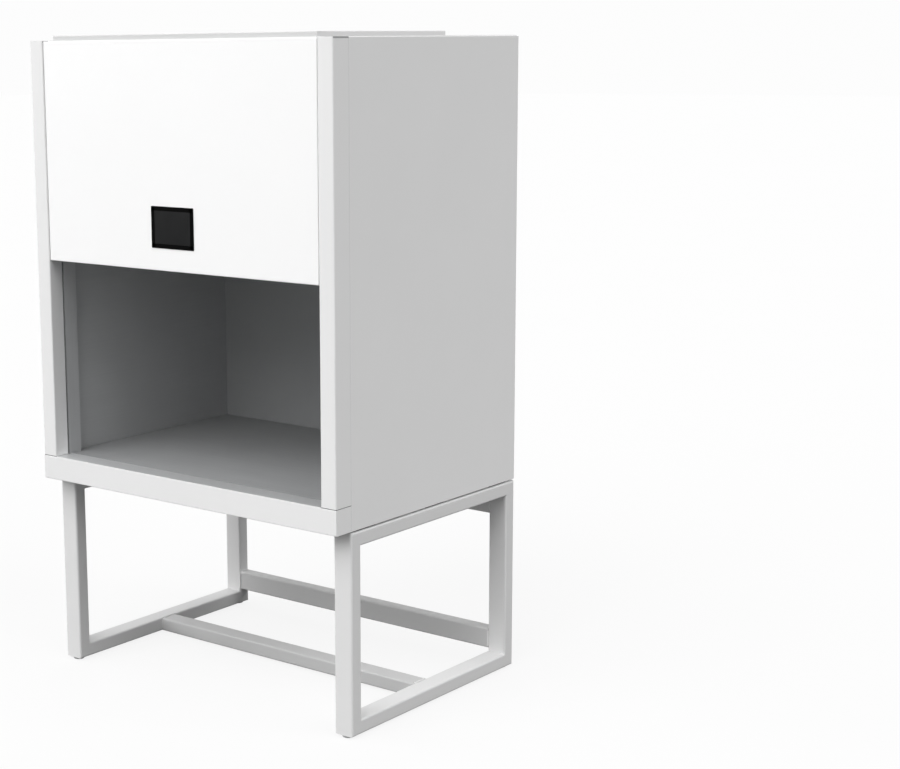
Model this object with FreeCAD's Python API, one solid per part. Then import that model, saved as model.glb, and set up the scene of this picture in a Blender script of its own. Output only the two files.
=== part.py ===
import FreeCAD, Part
import math
import os

Vector = FreeCAD.Vector

# Laminar flow cabinet on a welded tube stand, in millimetres.
# X runs to the right, Y to the rear and Z up. The origin is on the floor under the middle of the cabinet.

# Overall sizes
overall_width = 1200.0
overall_depth = 900.0
cabinet_height = 1380.0
stand_height = 609.0
foot_height = 8.0
pad_thickness = 6.0

# Stand tube and its rails
tube_wide = 65.0
tube_narrow = 44.0
tube_wall = 2.5
tube_corner = 6.0
low_rail_lift = 8.0
foot_radius = 18.0
pad_width = 45.0
pad_length = 90.0
pad_inset = 35.0

# Sheet metal
sheet = 1.2
strong_sheet = 2.0
bend_radius = 2.5
edge_radius = 4.0
straightness = 0.99
flange = 18.0

# Front corner: post, sash groove and guide
post_width = 55.0
post_depth = 51.0
corner_depth = 68.0
post_seam = 2.0
post_foot_plate = 5.0
post_cap_height = 5.0
sash_groove = 7.0
guide_depth = 51.0
guide_sheet = 1.5
guide_head_gap = 13.0

# Beam, base and work chamber
beam_height = 75.0
opening_height = 630.0
pan_height = 45.0
pan_flange = 40.0
liner_inset = 24.0
liner_gap = 1.0
back_wall_inset = 52.0
ceiling_lift = 24.0
tray_sheet = 1.5

# Roof, pre-filter and rear wall
roof_edge_gap = 4.0
roof_front_setback = 26.0
cover_height = 14.0
cover_side_inset = 76.0
cover_depth = 599.0
cover_grille_margin = 74.0
mat_margin = 44.0
roof_slot_margin = 90.0
grille_bar = 10.0
grille_columns = 14
grille_rows = 2
roof_bar = 16.0
roof_columns = 6
roof_rows = 2
inlet_side_inset = 170.0
inlet_z_below_top = 240.0
inlet_width = 48.0
inlet_height = 28.0
inlet_depth = 30.0
inlet_lip = 6.0
inlet_wall = 3.0
inlet_pin_width = 4.0
inlet_pin_spacing = 12.0

# Front panel, its hinge and catches
panel_gap = 2.5
panel_setback = 2.0
panel_flange = 14.0
panel_top_flange = 8.0
panel_top_gap = 2.0
header_depth = 24.0
header_height = 40.0
header_setback = 24.0
header_sheet = 1.5
header_foot = 16.0
hinge_setback = 13.0
hinge_drop = 10.0
hinge_end_gap = 42.5
hinge_leaf = 1.5
hinge_leaf_height = 38.0
hinge_barrel_radius = 4.0
hinge_pin_radius = 2.0
hinge_running_gap = 0.06
hinge_barrel_gap = 0.5
hinge_barrels = 3
catch_width = 15.0
catch_depth = 14.0
catch_height = 24.0
catch_gap = 0.5
catch_lift = 8.0

# Touch display
display_width = 170.0
display_height = 124.0
display_offset = -10.5
display_lift = 67.0
display_corner = 3.0
display_border = 13.0
display_frame_lip = 8.0
display_body_depth = 36.0
display_cut_gap = 1.0
screen_thickness = 1.2
screen_recess = 0.4

# Sash and its counterbalance
glass_thickness = 6.0
glass_hold = 14.0
sash_park_gap = 4.0
sash_seat_gap = 2.0
sash_overlap = 22.0
handle_height = 25.0
handle_wall = 4.5
handle_end_gap = 7.0
handle_slot = 17.0
handle_lip = 11.0
handle_lip_height = 10.0
handle_lip_wall = 3.5
handle_edge = 1.5
carrier_clearance = 1.0
carrier_bite = 3.0
carrier_width = 24.0
carrier_height = 60.0
guide_lip_gap = 1.5
belt_width = 6.0
belt_thickness = 1.0
belt_gap = 0.3
belt_short_run = 25.0
axle_below_top = 48.0
axle_radius = 3.0
axle_running_gap = 0.05
pulley_rim = 3.5
pulley_width = 10.0
pulley_slot_gap = 4.0
bracket_sheet = 2.5
bracket_half_height = 14.0
bracket_end_gap = 1.0
bracket_side_gap = 0.5
weight_clearance = 6.0
weight_stop_gap = 10.0
weight_floor_gap = 5.0

# Filter, plenum and blower
support_sheet = 3.0
support_front_setback = 72.0
support_lip_height = 40.0
support_guide_gap = 0.5
filter_side_inset = 60.0
filter_rear_gap = 14.0
filter_height = 90.0
filter_wall = 20.0
filter_front_setback = 114.0
filter_sheet = 2.5
media_margin = 6.0
media_sheet = 4.0
media_pleats = 18
gasket_height = 6.0
plenum_height = 239.0
plenum_sheet = 1.5
diffuser_sheet = 1.5
diffuser_gap = 2.0
diffuser_bar = 14.0
diffuser_columns = 10
diffuser_rows = 4
throat_radius = 100.0
bell_radius = 18.0
deck_hole_gap = 3.0
cone_sheet = 2.0
cone_flange = 32.0
cone_flats = 32
throat_length = 45.0
wheel_radius = 150.0
wheel_gap = 4.0
wheel_head_gap = 3.0
wheel_height = 85.0
wheel_sheet = 2.0
blade_count = 7
blade_inner_radius = 76.0
blade_edge_inset = 2.0
blade_sweep = 48.0
blade_mid_sweep = 17.0
blade_turn = 1.4
hub_radius = 28.0
hub_height = 36.0
hub_drop = 8.0
shaft_radius = 7.0
shaft_running_gap = 0.05
shaft_face_gap = 0.3
motor_radius = 55.0
motor_height = 58.0
mount_plate = 4.0
mount_arm_width = 40.0
mount_rod = 12.0
mount_reach = 190.0

# Lighting and controls
lamp_end_gap = 65.0
lamp_width = 30.0
lamp_height = 26.0
lamp_setback = 76.0
lamp_crown = 8.0
control_width = 320.0
control_depth = 140.0
control_height = 90.0
control_side_gap = 90.0
control_rear_gap = 54.0
control_foot = 12.0
control_corner = 5.0

# Levels and planes that follow from the sizes above
half_width = overall_width / 2
y_front = -overall_depth / 2
y_rear = overall_depth / 2
y_corner = y_front + corner_depth
z_stand_top = foot_height + stand_height
z_base = z_stand_top + pad_thickness
z_sill = z_base + beam_height
z_top = z_base + cabinet_height
z_panel = z_sill + opening_height
z_ceiling = z_panel + ceiling_lift
z_pan = z_base + pan_height
z_roof = z_top + sheet
z_cover = z_roof + cover_height
y_guide = y_front + post_depth + sash_groove
y_guide_back = y_guide + guide_depth
y_back_wall = y_rear - back_wall_inset
y_tray = y_corner + sheet
opening_half = half_width - post_width
wall_half = half_width - liner_inset
skin_half = half_width - sheet
cover_half_width = half_width - cover_side_inset
inlet_x = half_width - inlet_side_inset
lamp_half_length = opening_half - lamp_end_gap

y_glass = y_front + post_depth + (sash_groove - glass_thickness) / 2
z_handle = z_panel + sash_park_gap
sash_travel = z_handle - z_sill - sash_seat_gap
z_glass_top = z_panel + sash_travel + sash_overlap
glass_half = opening_half + glass_hold
x_belt = half_width - post_width / 2
y_weight = y_front + post_depth / 2
y_carrier = y_front + post_depth + carrier_clearance
carrier_depth = corner_depth - post_depth - 2 * carrier_clearance
y_sash_belt = y_carrier + carrier_depth / 2
pulley_radius = (y_sash_belt - y_weight) / 2
y_axle = y_weight + pulley_radius
z_axle = z_top - axle_below_top
z_carrier_top = z_axle - belt_short_run
pulley_rim_radius = pulley_radius + pulley_rim
z_weight_top = z_axle - pulley_rim_radius - weight_stop_gap - sash_travel
z_weight = z_sill + post_foot_plate + weight_floor_gap

z_filter = z_ceiling + support_sheet
z_gasket = z_filter + filter_height
z_plenum = z_gasket + gasket_height
z_deck = z_plenum + plenum_height
y_filter = y_front + filter_front_setback
y_filter_back = y_back_wall - filter_rear_gap
filter_half_width = half_width - filter_side_inset
y_blower = (y_filter + y_filter_back) / 2
z_throat = z_deck + cone_sheet - throat_length
z_wheel_top = z_throat - wheel_head_gap
z_wheel = z_wheel_top - wheel_height
collar_radius = throat_radius + wheel_gap
z_hub = z_wheel - hub_drop
z_motor_top = z_hub - shaft_face_gap
z_motor = z_motor_top - motor_height

y_hinge = y_front + hinge_setback
z_hinge = z_top - hinge_drop
panel_half = opening_half - panel_gap
hinge_half_length = panel_half - hinge_end_gap
y_panel = y_front + panel_setback
z_panel_top = z_top - panel_top_gap
y_header = y_front + header_setback
z_display = z_panel + display_lift


def box(x0, x1, y0, y1, z0, z1):
    return Part.makeBox(x1 - x0, y1 - y0, z1 - z0, Vector(x0, y0, z0))


def side_box(side, u0, u1, y0, y1, z0, z1):
    """A box measured inwards from the outer face of one side; side is -1 for left and 1 for right."""
    ends = sorted((side * (half_width - u0), side * (half_width - u1)))
    return box(ends[0], ends[1], y0, y1, z0, z1)


def plan_prism(points, z0, z1):
    """An outline of (x, y) points pulled up from z0 to z1."""
    corners = [Vector(x, y, z0) for x, y in points]
    face = Part.Face(Part.makePolygon(corners + corners[:1]))
    return face.extrude(Vector(0, 0, z1 - z0))


def section_prism(points, x0, x1):
    """A cross-section of (y, z) points pulled along X from x0 to x1."""
    corners = [Vector(x0, y, z) for y, z in points]
    face = Part.Face(Part.makePolygon(corners + corners[:1]))
    return face.extrude(Vector(x1 - x0, 0, 0))


def edges_along(shape, axis, keep):
    """Straight edges along one axis ('X', 'Y' or 'Z') whose middle passes the test."""
    found = []
    for edge in shape.Edges:
        span = edge.BoundBox
        lengths = {"X": span.XLength, "Y": span.YLength, "Z": span.ZLength}
        if lengths[axis] > straightness * edge.Length and keep(edge.CenterOfMass):
            found.append(edge)
    return found


def rounded(shape, radius, axis, keep=lambda middle: True):
    return shape.makeFillet(radius, edges_along(shape, axis, keep))


def folded_edges(block, bends):
    """A block with sheet bends along the given axes, mitred where two bends meet."""
    result = block
    for axis, keep in bends:
        result = result.common(rounded(block, bend_radius, axis, keep))
    return result


def joined(shapes):
    result = shapes[0]
    if len(shapes) > 1:
        result = result.multiFuse(shapes[1:])
    return result.removeSplitter()


def mirrored(shape):
    return shape.mirror(Vector(0, 0, 0), Vector(1, 0, 0))


def pair(left_shape):
    return Part.makeCompound([left_shape, mirrored(left_shape)])


def slot_grid(half_span, y0, y1, z0, z1, columns, rows, bar):
    """A pattern of rectangular slots with equal bars between them."""
    slot_x = (2 * half_span - (columns - 1) * bar) / columns
    slot_y = ((y1 - y0) - (rows - 1) * bar) / rows
    slots = []
    for column in range(columns):
        for row in range(rows):
            x = -half_span + column * (slot_x + bar)
            y = y0 + row * (slot_y + bar)
            slots.append(box(x, x + slot_x, y, y + slot_y, z0, z1))
    return Part.makeCompound(slots)


# Stand

def hollow_tube(x0, x1, y0, y1, z0, z1, axis):
    """A rectangular tube with rounded long edges and open ends."""
    walls = {"X": (0, tube_wall, tube_wall), "Y": (tube_wall, 0, tube_wall), "Z": (tube_wall, tube_wall, 0)}
    wx, wy, wz = walls[axis]
    outside = rounded(box(x0, x1, y0, y1, z0, z1), tube_corner, axis)
    return outside.cut(box(x0 + wx, x1 - wx, y0 + wy, y1 - wy, z0 + wz, z1 - wz))


def stand_side_loop(side):
    """The four tubes of one side loop, mitred where they meet."""
    x0, x1 = sorted((side * half_width, side * (half_width - tube_wide)))
    y0, y1 = y_corner, y_rear
    z0, z1 = foot_height, z_stand_top
    t = tube_narrow
    bottom = [(y0, z0), (y1, z0), (y1 - t, z0 + t), (y0 + t, z0 + t)]
    top = [(y0, z1), (y1, z1), (y1 - t, z1 - t), (y0 + t, z1 - t)]
    front = [(y0, z0), (y0 + t, z0 + t), (y0 + t, z1 - t), (y0, z1)]
    rear = [(y1, z0), (y1 - t, z0 + t), (y1 - t, z1 - t), (y1, z1)]
    return {
        "bottom_rail": hollow_tube(x0, x1, y0, y1, z0, z0 + t, "Y").common(section_prism(bottom, x0, x1)),
        "top_rail": hollow_tube(x0, x1, y0, y1, z1 - t, z1, "Y").common(section_prism(top, x0, x1)),
        "leg_front": hollow_tube(x0, x1, y0, y0 + t, z0, z1, "Z").common(section_prism(front, x0, x1)),
        "leg_rear": hollow_tube(x0, x1, y1 - t, y1, z0, z1, "Z").common(section_prism(rear, x0, x1)),
    }


def stand_cross_member():
    reach = half_width - tube_wide
    middle = (y_corner + y_rear) / 2
    half = tube_wide / 2
    z1 = foot_height + tube_narrow
    return hollow_tube(-reach, reach, middle - half, middle + half, foot_height, z1, "X")


def stand_rear_rail(z0):
    reach = half_width - tube_wide
    return hollow_tube(-reach, reach, y_rear - tube_narrow, y_rear, z0, z0 + tube_wide, "X")


def stand_rear_rail_low():
    return stand_rear_rail(foot_height + tube_narrow + low_rail_lift)


def stand_rear_rail_top():
    return stand_rear_rail(z_stand_top - tube_narrow - tube_wide)


def glide_feet():
    """Round glides under both ends of the bottom rails."""
    x = half_width - tube_wide / 2
    y = tube_narrow / 2
    places = [(sx * x, py) for sx in (-1, 1) for py in (y_corner + y, y_rear - y)]
    feet = [Part.makeCylinder(foot_radius, foot_height, Vector(px, py, 0)) for px, py in places]
    return Part.makeCompound(feet)


def isolation_pads():
    u0 = (tube_wide - pad_width) / 2
    first = y_corner + pad_inset
    last = y_rear - pad_inset - pad_length
    pads = []
    for side in (-1, 1):
        for y in (first, (first + last) / 2, last):
            pads.append(side_box(side, u0, u0 + pad_width, y, y + pad_length, z_stand_top, z_base))
    return Part.makeCompound(pads)


# Shell

def base_pan():
    outside = box(-skin_half, skin_half, y_tray, y_rear - sheet, z_base, z_pan)
    inner = skin_half - sheet
    inside = box(-inner, inner, y_tray + sheet, y_rear - 2 * sheet, z_base + sheet, z_pan - sheet)
    reach = skin_half - pan_flange
    mouth = box(-reach, reach, y_tray + pan_flange, y_rear - sheet - pan_flange, z_pan - sheet, z_pan)
    return outside.cut(inside).cut(mouth)


def front_beam():
    """A folded channel, open to the rear, whose top is the sill of the opening."""
    outside = box(-half_width, half_width, y_front, y_corner, z_base, z_sill)
    outside = rounded(outside, bend_radius, "X", lambda middle: middle.y < y_front + bend_radius)
    inside_half = half_width - strong_sheet
    z0, z1 = z_base + strong_sheet, z_sill - strong_sheet
    inside = box(-inside_half, inside_half, y_front + strong_sheet, y_corner, z0, z1)
    return outside.cut(inside)


def corner_outline(depth, z0, z1):
    """The post's plan shape on the left, with its two front edges rounded."""
    plain = side_box(-1, 0, post_width, y_front, y_front + depth, z0, z1)
    return rounded(plain, edge_radius, "Z", lambda middle: middle.y < y_front + edge_radius)


def front_post():
    """The left corner post: a box section with a rear flange, in which the counterweight runs."""
    z_wall = z_sill + post_seam
    z_cap = z_top - post_cap_height
    back = y_front + post_depth
    inner = post_width - strong_sheet
    tube = corner_outline(post_depth, z_wall, z_top)
    rear_flange = side_box(-1, 0, strong_sheet, back, y_corner, z_wall, z_cap)
    bore = side_box(-1, strong_sheet, inner, y_front + strong_sheet, back - strong_sheet, z_wall, z_top)
    cap_seat = side_box(-1, 0, post_width, y_front + strong_sheet, y_corner, z_cap, z_top)
    foot_y = (y_front + strong_sheet, back - strong_sheet)
    foot_plate = side_box(-1, strong_sheet, inner, foot_y[0], foot_y[1], z_sill, z_sill + post_foot_plate)
    slot_half = pulley_width / 2 + pulley_slot_gap / 2
    slot_z = pulley_rim_radius + pulley_slot_gap
    slot_u = (post_width / 2 - slot_half, post_width / 2 + slot_half)
    slot = side_box(-1, slot_u[0], slot_u[1], back - strong_sheet, back, z_axle - slot_z, z_axle + slot_z)
    return joined([tube.cut(bore).cut(cap_seat).cut(slot), rear_flange, foot_plate])


def post_cap():
    """The left post's top plug, behind the post's front wall."""
    z_cap = z_top - post_cap_height
    seat = side_box(-1, 0, post_width, y_front + strong_sheet, y_corner, z_cap, z_top)
    return corner_outline(corner_depth, z_cap, z_top).common(seat)


def side_panel():
    """The left side: one sheet with its front, rear and top edges folded inwards."""
    plain = side_box(-1, 0, flange, y_corner, y_rear, z_base, z_top)
    near_skin = -half_width + bend_radius
    near_top = z_top - bend_radius
    folded = folded_edges(plain, [
        ("Z", lambda middle: middle.x < near_skin),
        ("Y", lambda middle: middle.x < near_skin and middle.z > near_top),
    ])
    hollow = side_box(-1, sheet, flange, y_corner + sheet, y_rear - sheet, z_base, z_top - sheet)
    return folded.cut(hollow)


def rear_panel():
    outer = y_rear - sheet
    skin = box(-skin_half, skin_half, outer - sheet, outer, z_pan, z_top)
    reach = half_width - flange - liner_gap
    top_fold = box(-reach, reach, outer - flange, outer - sheet, z_top - sheet, z_top)
    side_clear = side_box(-1, 0, flange, outer - flange, outer, z_top - sheet, z_top)
    window = box(
        inlet_x - inlet_width / 2, inlet_x + inlet_width / 2, outer - sheet, outer,
        inlet_middle() - inlet_height / 2, inlet_middle() + inlet_height / 2)
    return joined([skin.cut(side_clear).cut(mirrored(side_clear)).cut(window), top_fold])


def inlet_middle():
    return z_top - inlet_z_below_top


def mains_inlet():
    """A panel inlet set flush in the rear wall, with its lip behind the sheet."""
    outer = y_rear - sheet
    z = inlet_middle()
    x0, x1 = inlet_x - inlet_width / 2, inlet_x + inlet_width / 2
    z0, z1 = z - inlet_height / 2, z + inlet_height / 2
    body = box(x0, x1, outer - inlet_depth, outer, z0, z1)
    w = inlet_wall
    back = outer - inlet_depth
    e = inlet_lip
    lip = box(x0 - e, x1 + e, outer - sheet - w, outer - sheet, z0 - e, z1 + e)
    mouth = box(x0 + w, x1 - w, back + w, outer, z0 + w, z1 - w)
    spacing = inlet_pin_spacing
    half = inlet_pin_width / 2
    pins = []
    for step in (-1, 0, 1):
        px = inlet_x + step * spacing
        pins.append(box(px - half / 2, px + half / 2, back, outer - w, z - half, z + half))
    return joined([body.fuse(lip).cut(mouth)] + pins)


def stepped_outline(wide, narrow, y_step, y0, y1):
    """A plan outline that is narrow in front of y_step and wide behind it."""
    return [(-narrow, y0), (narrow, y0), (narrow, y_step), (wide, y_step),
            (wide, y1), (-wide, y1), (-wide, y_step), (-narrow, y_step)]


def roof_panel():
    """The roof sheet; its slots let air down from the pre-filter."""
    wide = half_width - roof_edge_gap
    outline = stepped_outline(wide, opening_half, y_tray, cover_front(), y_rear - roof_edge_gap)
    m = roof_slot_margin
    slots = slot_grid(
        cover_half_width - m, cover_front() + m, cover_back() - m,
        z_top, z_roof, roof_columns, roof_rows, roof_bar)
    return plan_prism(outline, z_top, z_roof).cut(slots)


def cover_front():
    return y_front + roof_front_setback


def cover_back():
    return cover_front() + cover_depth


def roof_intake_cover():
    """The raised intake cover, a shallow box with a slotted top."""
    plain = box(-cover_half_width, cover_half_width, cover_front(), cover_back(), z_roof, z_cover)
    outside = folded_edges(plain, [(axis, lambda middle: middle.z > z_roof + bend_radius) for axis in "XYZ"])
    inner = cover_half_width - sheet
    inside = box(-inner, inner, cover_front() + sheet, cover_back() - sheet, z_roof, z_cover - sheet)
    m = cover_grille_margin
    slots = slot_grid(
        cover_half_width - m, cover_front() + m, cover_back() - m,
        z_cover - sheet, z_cover, grille_columns, grille_rows, grille_bar)
    return outside.cut(inside).cut(slots)


def prefilter_mat():
    half = cover_half_width - mat_margin
    return box(-half, half, cover_front() + mat_margin, cover_back() - mat_margin, z_roof, z_cover - sheet)


def header_rail():
    """The channel between the posts that carries the front panel's hinge."""
    y0 = y_header
    y1 = y_header + header_depth
    foot = y_header + header_foot
    z0 = z_top - header_height
    s = header_sheet
    outline = [(y0, z0), (foot, z0), (foot, z0 + s), (y0 + s, z0 + s),
               (y0 + s, z_top - s), (y1, z_top - s), (y1, z_top), (y0, z_top)]
    return section_prism(outline, -opening_half, opening_half)


# Work chamber

def work_tray():
    half = wall_half - liner_gap
    t = tray_sheet
    y1 = y_back_wall - liner_gap
    outside = box(-half, half, y_tray, y1, z_pan, z_sill)
    inside = box(-half + t, half - t, y_tray + t, y1 - t, z_pan, z_sill - t)
    return outside.cut(inside)


def side_liner():
    """The left wall of the chamber, folded outwards at its top to carry the filter frame."""
    u = liner_inset
    skin = side_box(-1, u - sheet, u, y_guide_back, y_back_wall, z_pan, z_ceiling)
    fold = side_box(-1, u - flange, u, y_guide_back, y_back_wall, z_ceiling - sheet, z_ceiling)
    return joined([skin, fold])


def liner_back():
    half = wall_half + sheet
    skin = box(-half, half, y_back_wall, y_back_wall + sheet, z_pan, z_ceiling)
    fold = box(-half, half, y_back_wall, y_back_wall + flange, z_ceiling - sheet, z_ceiling)
    return joined([skin, fold])


def sash_guide():
    """The left guide behind the sash groove, a folded sheet that meets the chamber wall."""
    u_lip = post_width - glass_hold + carrier_bite + guide_lip_gap
    u_back = liner_inset - sheet
    s = guide_sheet
    u_face = post_width
    y0, y1 = y_guide, y_guide_back
    plan = [(u_lip, y0), (u_face, y0), (u_face, y1), (u_back, y1),
            (u_back, y1 - s), (u_face - s, y1 - s), (u_face - s, y0 + s), (u_lip, y0 + s)]
    points = [(u - half_width, y) for u, y in plan]
    return plan_prism(points, z_sill, z_top - guide_head_gap)


def diffuser_screen():
    """The perforated sheet under the filter, the chamber's ceiling."""
    half = wall_half - diffuser_gap
    z0 = z_ceiling - diffuser_sheet
    plate = box(-half, half, y_guide_back + diffuser_gap, y_back_wall - diffuser_gap, z0, z_ceiling)
    mouth_half = filter_half_width - filter_wall
    slots = slot_grid(
        mouth_half, y_filter + filter_wall, y_filter_back - filter_wall,
        z0, z_ceiling, diffuser_columns, diffuser_rows, diffuser_bar)
    return plate.cut(slots)


def led_batten():
    """A lamp housing with a crowned lens, under the front edge of the ceiling."""
    y0 = y_front + lamp_setback
    y1 = y0 + lamp_width
    z0 = z_ceiling - lamp_height + lamp_crown
    x0 = -lamp_half_length
    near, far = Vector(x0, y0, z0), Vector(x0, y1, z0)
    crown = Vector(x0, (y0 + y1) / 2, z0 - lamp_crown)
    lens = Part.Arc(near, crown, far).toShape()
    rim = Part.makePolygon([far, Vector(x0, y1, z_ceiling), Vector(x0, y0, z_ceiling), near])
    section = Part.Face(Part.Wire([lens] + rim.Edges))
    return section.extrude(Vector(2 * lamp_half_length, 0, 0))


# Front panel

def display_span():
    return display_offset - display_width / 2, display_offset + display_width / 2


def front_panel():
    """The upper front: a folded pan with the display's window."""
    inner = panel_half - sheet
    y1 = y_panel + panel_flange
    z1 = z_panel_top - sheet
    plain = box(-panel_half, panel_half, y_panel, y1, z_panel, z_panel_top)
    outside = folded_edges(plain, [(axis, lambda middle: middle.y < y_panel + bend_radius) for axis in "XZ"])
    inside = box(-inner, inner, y_panel + sheet, y1, z_panel + sheet, z1)
    top_trim = box(-inner, inner, y_panel + panel_top_flange, y1, z1, z_panel_top)
    x0, x1 = display_span()
    lip = display_frame_lip - display_cut_gap
    z_window = z_display + display_height - lip
    window = box(x0 + lip, x1 - lip, y_panel, y_panel + sheet, z_display + lip, z_window)
    return outside.cut(inside).cut(top_trim).cut(window)


def display_housing():
    """The display's front frame and the body behind it."""
    x0, x1 = display_span()
    z0, z1 = z_display, z_display + display_height
    frame = rounded(box(x0, x1, y_front, y_panel, z0, z1), display_corner, "Y")
    lip = display_frame_lip
    body = box(x0 + lip, x1 - lip, y_panel, y_panel + display_body_depth, z0 + lip, z1 - lip)
    return joined([frame, body]).cut(display_pane(y_front))


def display_pane(y0):
    x0, x1 = display_span()
    b = display_border
    y1 = y_front + screen_recess + screen_thickness
    return box(x0 + b, x1 - b, y0, y1, z_display + b, z_display + display_height - b)


def display_screen():
    return display_pane(y_front + screen_recess)


def hinge_barrel_spans(first):
    """The X spans of every second barrel of the hinge, counted from the first given."""
    length = 2 * hinge_half_length / hinge_barrels
    half_gap = hinge_barrel_gap / 2
    return [(-hinge_half_length + i * length + half_gap, -hinge_half_length + (i + 1) * length - half_gap)
            for i in range(first, hinge_barrels, 2)]


def hinge_leaf_with_barrels(plate_y, bridge_y, first):
    """One leaf: an upright plate, and a bridge and a bored barrel on each of its own spans."""
    half = hinge_half_length
    z0, z1 = z_hinge - hinge_leaf / 2, z_hinge + hinge_leaf / 2
    pieces = [box(-half, half, plate_y[0], plate_y[1], z_hinge - hinge_leaf_height, z_hinge + hinge_leaf)]
    bore_radius = hinge_pin_radius + hinge_running_gap
    bores = []
    for x0, x1 in hinge_barrel_spans(first):
        start = Vector(x0, y_hinge, z_hinge)
        pieces.append(box(x0, x1, bridge_y[0], bridge_y[1], z0, z1))
        pieces.append(Part.makeCylinder(hinge_barrel_radius, x1 - x0, start, Vector(1, 0, 0)))
        bores.append(Part.makeCylinder(bore_radius, x1 - x0, start, Vector(1, 0, 0)))
    return joined(pieces).cut(Part.makeCompound(bores))


def hinge_panel_leaf():
    inner = y_panel + sheet
    return hinge_leaf_with_barrels((inner, inner + hinge_leaf), (inner, y_hinge), 1)


def hinge_fixed_leaf():
    return hinge_leaf_with_barrels((y_header - hinge_leaf, y_header), (y_hinge, y_header), 0)


def hinge_pin():
    start = Vector(-hinge_half_length, y_hinge, z_hinge)
    return Part.makeCylinder(hinge_pin_radius, 2 * hinge_half_length, start, Vector(1, 0, 0))


def panel_catch():
    """The left magnetic catch, on the post behind the panel's folded edge."""
    y0 = y_panel + panel_flange + catch_gap
    z0 = z_panel + catch_lift
    block = side_box(-1, post_width, post_width + catch_width, y0, y0 + catch_depth, z0, z0 + catch_height)
    return rounded(block, bend_radius, "Y", lambda middle: middle.x > -opening_half + bend_radius)


# Sash and counterbalance

def sash_glass():
    z0 = z_handle + handle_height - handle_slot
    return box(-glass_half, glass_half, y_glass, y_glass + glass_thickness, z0, z_glass_top)


def sash_handle():
    """The grip along the glass's lower edge, with a finger lip to the front."""
    y0 = y_glass - handle_wall
    y1 = y_glass + glass_thickness + handle_wall
    z0, z1 = z_handle, z_handle + handle_height
    w = handle_lip_wall
    tip = y0 - handle_lip
    slot = z1 - handle_slot
    y_inner = y_glass + glass_thickness
    outline = [(tip, z0), (y1, z0), (y1, z1), (y_inner, z1), (y_inner, slot),
               (y_glass, slot), (y_glass, z1), (y0, z1), (y0, z0 + w), (tip + w, z0 + w),
               (tip + w, z0 + handle_lip_height), (tip, z0 + handle_lip_height)]
    reach = opening_half - handle_end_gap
    grip = section_prism(outline, -reach, reach)
    return rounded(grip, handle_edge, "X", lambda middle: middle.y < tip + 2 * w)


def sash_carrier():
    """The left block that grips the glass's edge and takes the belt."""
    u1 = post_width - glass_hold + carrier_bite
    u0 = u1 - carrier_width
    z0 = z_carrier_top - carrier_height
    block = side_box(-1, u0, u1, y_carrier, y_carrier + carrier_depth, z0, z_carrier_top)
    return block.cut(sash_glass())


def counterweight():
    """The left weight, clear of the post's bore all round."""
    inset = strong_sheet + weight_clearance
    y1 = y_front + post_depth - inset
    return side_box(-1, inset, post_width - inset, y_front + inset, y1, z_weight, z_weight_top)


def sash_pulley():
    """The left flanged wheel over which the belt turns."""
    half = pulley_width / 2
    seat_half = belt_width / 2 + belt_gap
    bore = axle_radius + axle_running_gap
    seat = pulley_radius - belt_thickness / 2 - belt_gap
    profile = [(bore, -half), (pulley_rim_radius, -half), (seat, -seat_half), (seat, seat_half),
               (pulley_rim_radius, half), (bore, half)]
    corners = [Vector(-x_belt + along, y_axle, z_axle + r) for r, along in profile]
    face = Part.Face(Part.makePolygon(corners + corners[:1]))
    return face.revolve(Vector(-x_belt, y_axle, z_axle), Vector(1, 0, 0), 360)


def pulley_bracket():
    """The left fork inside the post, with the riveted axle."""
    y0 = y_front + strong_sheet
    y1 = y_front + post_depth - strong_sheet - bracket_end_gap
    inner = pulley_width / 2 + bracket_side_gap
    outer = inner + bracket_sheet
    z0, z1 = z_axle - bracket_half_height, z_axle + bracket_half_height
    back = box(-x_belt - outer, -x_belt + outer, y0, y0 + bracket_sheet, z0, z1)
    cheeks = [box(-x_belt + a, -x_belt + b, y0, y1, z0, z1) for a, b in ((-outer, -inner), (inner, outer))]
    axle = Part.makeCylinder(axle_radius, 2 * inner, Vector(-x_belt - inner, y_axle, z_axle), Vector(1, 0, 0))
    return joined([back] + cheeks + [axle])


def sash_belt():
    """The left flat belt: up from the weight, over the pulley and down to the carrier."""
    x0, x1 = -x_belt - belt_width / 2, -x_belt + belt_width / 2
    half = belt_thickness / 2
    rise = box(x0, x1, y_weight - half, y_weight + half, z_weight_top, z_axle)
    fall = box(x0, x1, y_sash_belt - half, y_sash_belt + half, z_carrier_top, z_axle)
    outside = Part.makeCylinder(pulley_radius + half, belt_width, Vector(x0, y_axle, z_axle), Vector(1, 0, 0))
    inside = Part.makeCylinder(pulley_radius - half, belt_width, Vector(x0, y_axle, z_axle), Vector(1, 0, 0))
    reach = pulley_rim_radius
    upper = box(x0, x1, y_axle - reach, y_axle + reach, z_axle, z_axle + reach)
    return joined([rise, outside.cut(inside).common(upper), fall])


# Air system

def hepa_support_frame():
    """The frame on the chamber walls that carries the filter, with an upturned front edge."""
    wide = half_width - liner_inset + flange
    narrow = opening_half - support_guide_gap
    y0 = y_front + support_front_setback
    outline = stepped_outline(wide, narrow, y_guide_back + support_guide_gap, y0, y_back_wall + flange)
    half = filter_half_width - filter_wall
    mouth = box(-half, half, y_filter + filter_wall, y_filter_back - filter_wall, z_ceiling, z_filter)
    lip = box(-narrow, narrow, y0, y0 + strong_sheet, z_filter, z_filter + support_lip_height)
    return joined([plan_prism(outline, z_ceiling, z_filter).cut(mouth), lip])


def filter_ring(z0, z1):
    outside = box(-filter_half_width, filter_half_width, y_filter, y_filter_back, z0, z1)
    half = filter_half_width - filter_wall
    return outside.cut(box(-half, half, y_filter + filter_wall, y_filter_back - filter_wall, z0, z1))


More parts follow.
